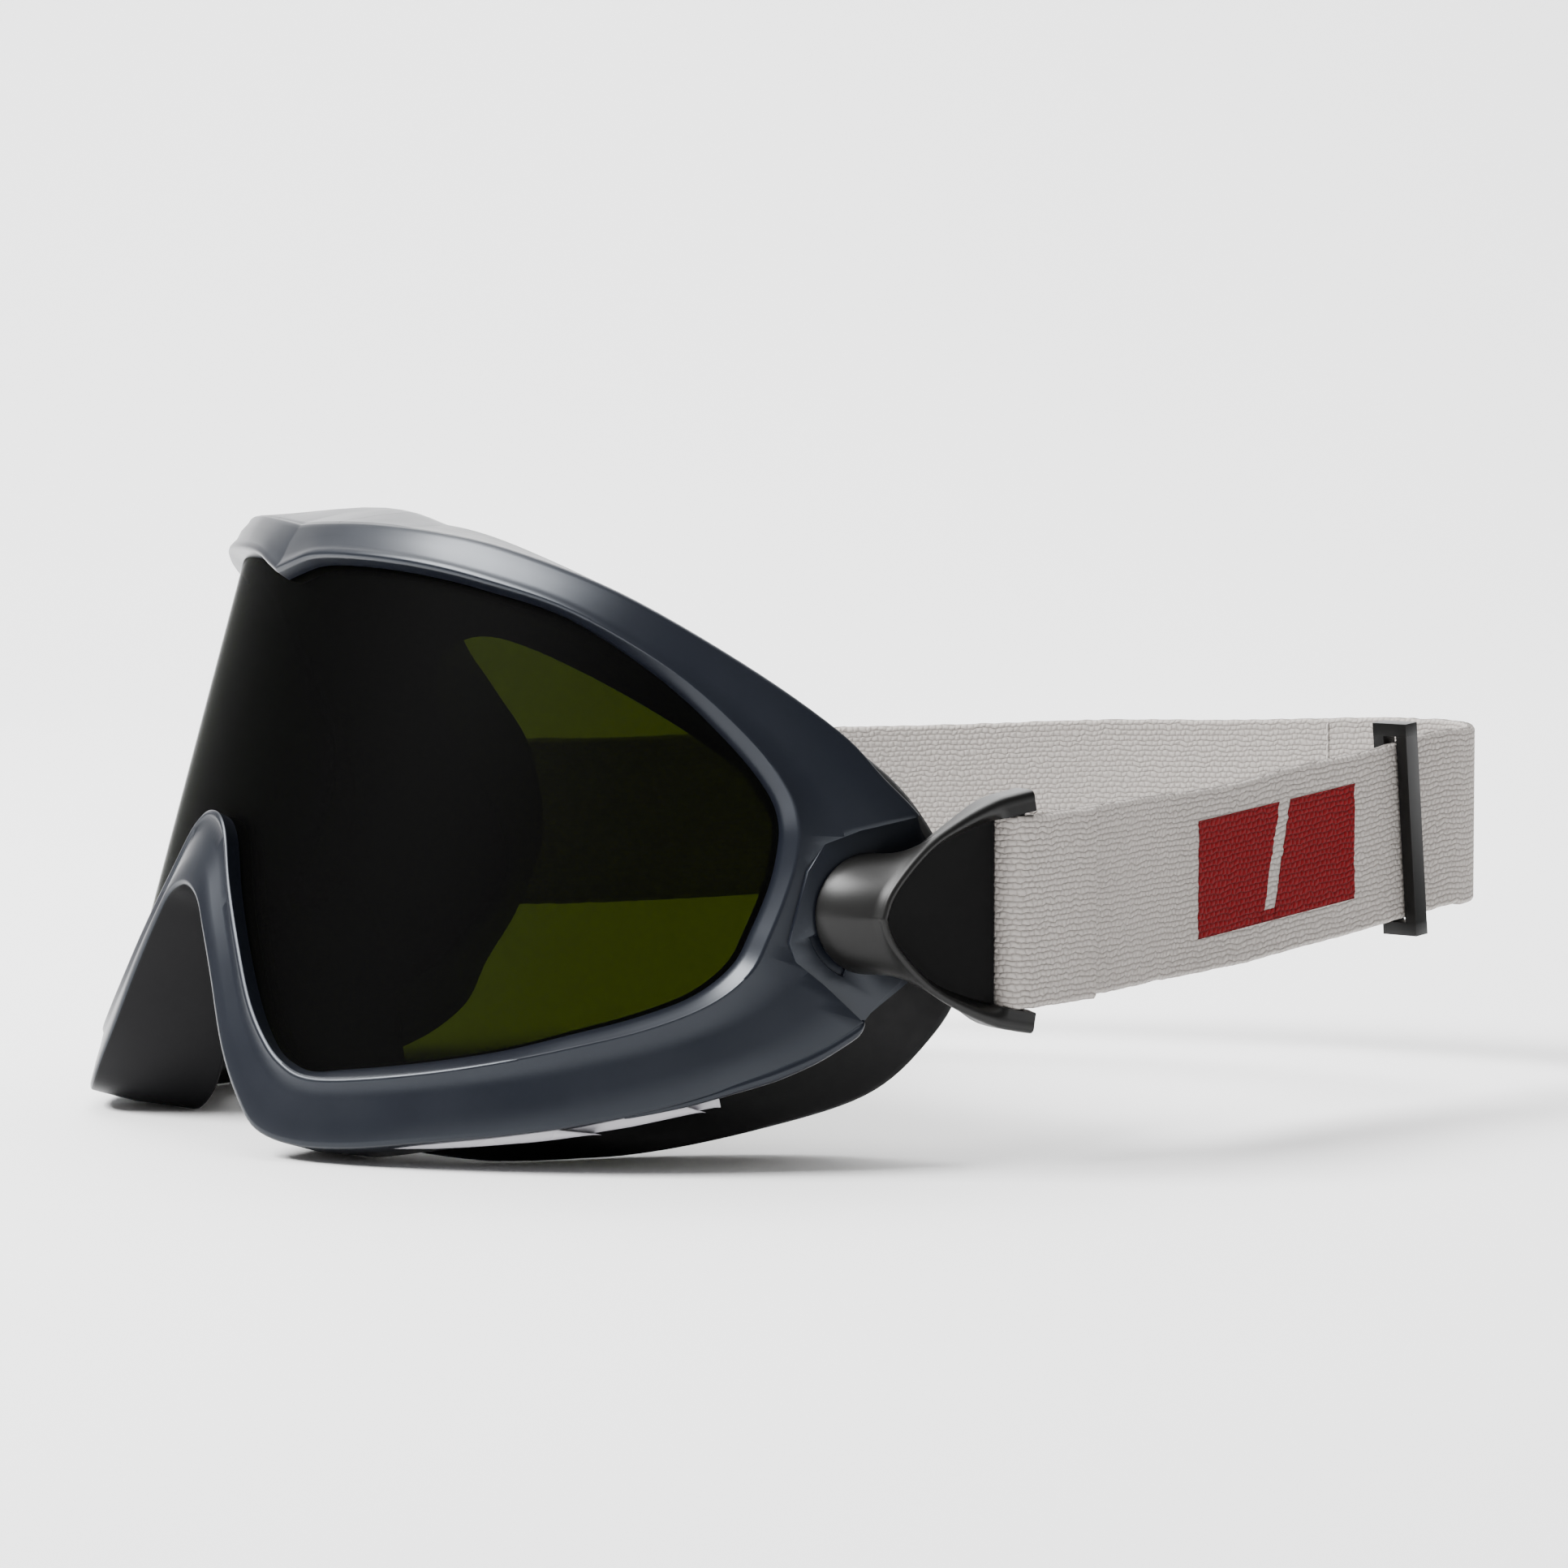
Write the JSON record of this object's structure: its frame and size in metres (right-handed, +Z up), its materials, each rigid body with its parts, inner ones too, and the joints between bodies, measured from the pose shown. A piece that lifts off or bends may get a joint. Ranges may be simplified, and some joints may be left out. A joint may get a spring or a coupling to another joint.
{
  "type": "welding goggles",
  "caption": "Wraparound welding goggles: cylindrical dark green lens in a slate blue frame, soft black face seal, pivoting strap clips and an elastic headband with a slider.",
  "frame": {"origin": "bottom centre of the bounding box, on the table that the goggles rest on", "axes": "+X towards the wearer's left, +Y from the lens to the back of the headband, +Z up"},
  "size_m": [0.1704, 0.1884, 0.0843],
  "materials": {
    "frame": "satin slate blue",
    "lens": "polished, very dark green",
    "soft_black": "satin",
    "clip_black": "satin",
    "pin": "satin",
    "webbing": "ribbed elastic weave",
    "thread": "matte",
    "print": "matte ink"
  },
  "bodies": {
    "goggle": {"front_frame": "frame", "lens": "lens", "lens_gasket": "soft_black", "face_seal": "soft_black", "seal_flange": "soft_black", "brow_cover_left": "frame", "brow_cover_right": "frame", "vent_baffle_left": "clip_black", "vent_baffle_right": "clip_black", "pivot_pin_left": "pin", "pivot_pin_right": "pin", "pivot_washer_left": "pin", "pivot_washer_right": "pin"},
    "headband": {"strap_clip_left": "clip_black", "strap_clip_right": "clip_black", "headband_webbing": "webbing", "end_stitching_left": "thread", "end_stitching_right": "thread", "band_seam": "thread", "band_print": "print"},
    "slider": {"band_slider": "clip_black"}
  },
  "joints": [
    {"name": "headband_swing", "type": "hinge", "parent": "goggle", "child": "headband", "pos_m": [0, -0.02831, 0.03316], "axis": [1, 0, 0], "range_deg": [-12, 28]},
    {"name": "slider_travel", "type": "slide", "parent": "headband", "child": "slider", "axis": [-0.3142, 0.9445, 0.0956], "range_m": [-0.034, 0.002]}
  ]
}
